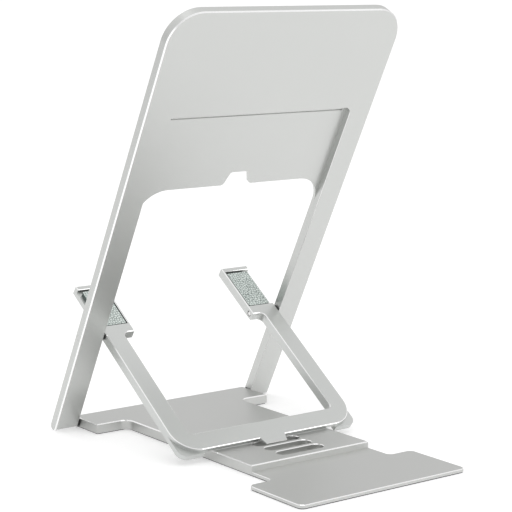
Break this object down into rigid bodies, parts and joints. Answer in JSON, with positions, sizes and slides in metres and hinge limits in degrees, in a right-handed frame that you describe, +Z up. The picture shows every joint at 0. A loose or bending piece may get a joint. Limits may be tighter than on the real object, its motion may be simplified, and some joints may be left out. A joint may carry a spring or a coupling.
{
  "type": "tablet stand",
  "caption": "Flat-folding aluminium tablet stand: a back panel with a window, a U-shaped prop frame with padded hooks, and a slotted base, all hinged to nest in one plane.",
  "frame": {"origin": "on the ground under the middle of the base, half way from its rear edge to its front edge", "axes": "+Z up, X along the hinges, -Y towards the user, +Y towards the base's front plate"},
  "size_m": [0.13, 0.1756, 0.2066],
  "materials": {
    "panel_metal": "fine satin anodised, polished chamfers",
    "prop_metal": "fine satin anodised, polished chamfers",
    "base_metal": "fine satin anodised, polished chamfers",
    "pin_steel": "ground",
    "bush_steel": "ground steel sleeve",
    "washer_plastic": "smooth",
    "pad_silicone": "pebbled matt silicone",
    "foot_rubber": "matt anti-slip rubber"
  },
  "bodies": {
    "base": {"base_plate": "base_metal", "foot_rear": "foot_rubber", "foot_body": "foot_rubber", "foot_front": "foot_rubber", "hinge_bush_left": "bush_steel", "hinge_bush_right": "bush_steel"},
    "panel": {"back_panel": "panel_metal", "hinge_pin_left": "pin_steel", "hinge_pin_right": "pin_steel", "pivot_pin_left": "pin_steel", "pivot_pin_right": "pin_steel", "hinge_washer_left": "washer_plastic", "hinge_washer_right": "washer_plastic", "pivot_washer_left": "washer_plastic", "pivot_washer_right": "washer_plastic", "face_strip_upper": "pad_silicone", "face_strip_lower": "pad_silicone"},
    "prop": {"prop_frame": "prop_metal", "hook_pad_left": "pad_silicone", "hook_pad_right": "pad_silicone", "pivot_bush_left": "bush_steel", "pivot_bush_right": "bush_steel"}
  },
  "joints": [
    {"name": "panel_fold", "type": "hinge", "parent": "base", "child": "panel", "pos_m": [0, -0.08525, 0.0025], "axis": [-1, 0, 0], "range_deg": [0, 62.25]},
    {"name": "prop_swing", "type": "hinge", "parent": "panel", "child": "prop", "pos_m": [0, -0.06001, 0.05047], "axis": [1, 0, 0], "range_deg": [0, 97.2]}
  ],
  "couplings": [
    {"joint": "prop_swing", "follows": "panel_fold", "ratio": 1.5614}
  ]
}
